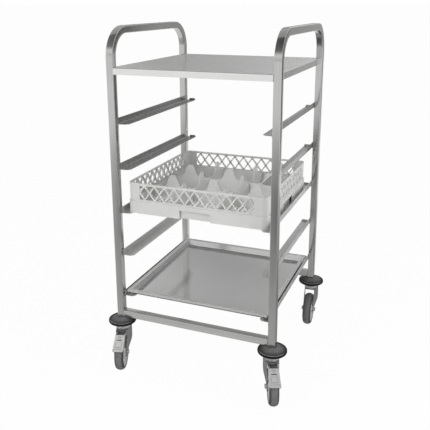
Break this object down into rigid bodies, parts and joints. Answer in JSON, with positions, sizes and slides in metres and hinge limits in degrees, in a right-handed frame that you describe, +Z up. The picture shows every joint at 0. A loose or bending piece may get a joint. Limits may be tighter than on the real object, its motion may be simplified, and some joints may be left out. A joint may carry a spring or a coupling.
{
  "type": "dishwasher rack trolley",
  "caption": "Stainless steel trolley on swivel castors, with rail pairs for dish racks, a top shelf between bent tube handles, a drip tray and a plastic dish rack with dividers.",
  "frame": {"origin": "on the floor under the middle of the frame", "axes": "+Z up, -Y towards the front where racks go in, +X to the right when facing the front"},
  "size_m": [0.6746, 0.7692, 1.2],
  "materials": {
    "stainless_tube": "brushed square tube, bent and welded",
    "stainless_sheet": "satin folded sheet",
    "zinc_plated_steel": "pressed sheet steel, zinc plated",
    "rack_plastic": "injection moulded, off-white",
    "hub_plastic": "injection moulded, light grey",
    "grey_rubber": "non-marking grey rubber",
    "bumper_rubber": "moulded, dark grey",
    "nylon": "moulded, natural"
  },
  "bodies": {
    "frame": {"left_side_frame": "stainless_tube", "right_side_frame": "stainless_tube", "front_cross_tube": "stainless_tube", "rear_cross_tube": "stainless_tube", "top_shelf": "stainless_sheet", "left_rail_1": "stainless_sheet", "right_rail_1": "stainless_sheet", "left_rail_2": "stainless_sheet", "right_rail_2": "stainless_sheet", "left_rail_3": "stainless_sheet", "right_rail_3": "stainless_sheet", "left_rail_4": "stainless_sheet", "right_rail_4": "stainless_sheet", "left_rail_5": "stainless_sheet", "right_rail_5": "stainless_sheet", "fl_tube_plug": "nylon", "fl_bumper": "bumper_rubber", "fl_swivel_head": "zinc_plated_steel", "fr_tube_plug": "nylon", "fr_bumper": "bumper_rubber", "fr_swivel_head": "zinc_plated_steel", "rl_tube_plug": "nylon", "rl_bumper": "bumper_rubber", "rl_swivel_head": "zinc_plated_steel", "rr_tube_plug": "nylon", "rr_bumper": "bumper_rubber", "rr_swivel_head": "zinc_plated_steel"},
    "drip_tray": {"drip_tray": "stainless_sheet"},
    "dish_rack": {"rack_base": "rack_plastic", "rack_long_dividers": "rack_plastic", "rack_cross_dividers": "rack_plastic"},
    "front_left_swivel": {"fl_fork": "zinc_plated_steel", "fl_axle": "zinc_plated_steel", "fl_swivel_bearing": "zinc_plated_steel", "fl_brake_pin": "zinc_plated_steel"},
    "front_left_wheel": {"fl_hub": "hub_plastic", "fl_tyre": "grey_rubber", "fl_bush": "nylon"},
    "front_left_brake": {"fl_brake_pedal": "zinc_plated_steel"},
    "front_right_swivel": {"fr_fork": "zinc_plated_steel", "fr_axle": "zinc_plated_steel", "fr_swivel_bearing": "zinc_plated_steel", "fr_brake_pin": "zinc_plated_steel"},
    "front_right_wheel": {"fr_hub": "hub_plastic", "fr_tyre": "grey_rubber", "fr_bush": "nylon"},
    "front_right_brake": {"fr_brake_pedal": "zinc_plated_steel"},
    "rear_left_swivel": {"rl_fork": "zinc_plated_steel", "rl_axle": "zinc_plated_steel", "rl_swivel_bearing": "zinc_plated_steel"},
    "rear_left_wheel": {"rl_hub": "hub_plastic", "rl_tyre": "grey_rubber", "rl_bush": "nylon"},
    "rear_right_swivel": {"rr_fork": "zinc_plated_steel", "rr_axle": "zinc_plated_steel", "rr_swivel_bearing": "zinc_plated_steel"},
    "rear_right_wheel": {"rr_hub": "hub_plastic", "rr_tyre": "grey_rubber", "rr_bush": "nylon"}
  },
  "joints": [
    {"name": "tray_slide", "type": "slide", "parent": "frame", "child": "drip_tray", "axis": [0, -1, 0], "range_m": [-0.047, 0.26]},
    {"name": "rack_slide", "type": "slide", "parent": "frame", "child": "dish_rack", "axis": [0, -1, 0], "range_m": [-0.046, 0.26]},
    {"name": "front_left_swivel_turn", "type": "hinge", "parent": "frame", "child": "front_left_swivel", "pos_m": [-0.28, -0.28, 0.145], "axis": [0, 0, 1], "continuous": true},
    {"name": "front_left_wheel_roll", "type": "hinge", "parent": "front_left_swivel", "child": "front_left_wheel", "pos_m": [-0.26633, -0.31971, 0.0625], "axis": [0.9455, 0.3256, 0], "continuous": true},
    {"name": "front_left_brake_press", "type": "hinge", "parent": "front_left_swivel", "child": "front_left_brake", "pos_m": [-0.27349, -0.29891, 0.131], "axis": [0.9455, 0.3256, 0], "range_deg": [0, 3.9]},
    {"name": "front_right_swivel_turn", "type": "hinge", "parent": "frame", "child": "front_right_swivel", "pos_m": [0.28, -0.28, 0.145], "axis": [0, 0, 1], "continuous": true},
    {"name": "front_right_wheel_roll", "type": "hinge", "parent": "front_right_swivel", "child": "front_right_wheel", "pos_m": [0.29573, -0.31894, 0.0625], "axis": [0.9272, 0.3746, 0], "continuous": true},
    {"name": "front_right_brake_press", "type": "hinge", "parent": "front_right_swivel", "child": "front_right_brake", "pos_m": [0.28749, -0.29854, 0.131], "axis": [0.9272, 0.3746, 0], "range_deg": [0, 3.9]},
    {"name": "rear_left_swivel_turn", "type": "hinge", "parent": "frame", "child": "rear_left_swivel", "pos_m": [-0.28, 0.28, 0.145], "axis": [0, 0, 1], "continuous": true},
    {"name": "rear_left_wheel_roll", "type": "hinge", "parent": "rear_left_swivel", "child": "rear_left_wheel", "pos_m": [-0.29708, 0.31837, 0.0625], "axis": [-0.9135, -0.4067, 0], "continuous": true},
    {"name": "rear_right_swivel_turn", "type": "hinge", "parent": "frame", "child": "rear_right_swivel", "pos_m": [0.28, 0.28, 0.145], "axis": [0, 0, 1], "continuous": true},
    {"name": "rear_right_wheel_roll", "type": "hinge", "parent": "rear_right_swivel", "child": "rear_right_wheel", "pos_m": [0.28293, 0.2381, 0.0625], "axis": [0.9976, 0.0698, 0], "continuous": true}
  ]
}
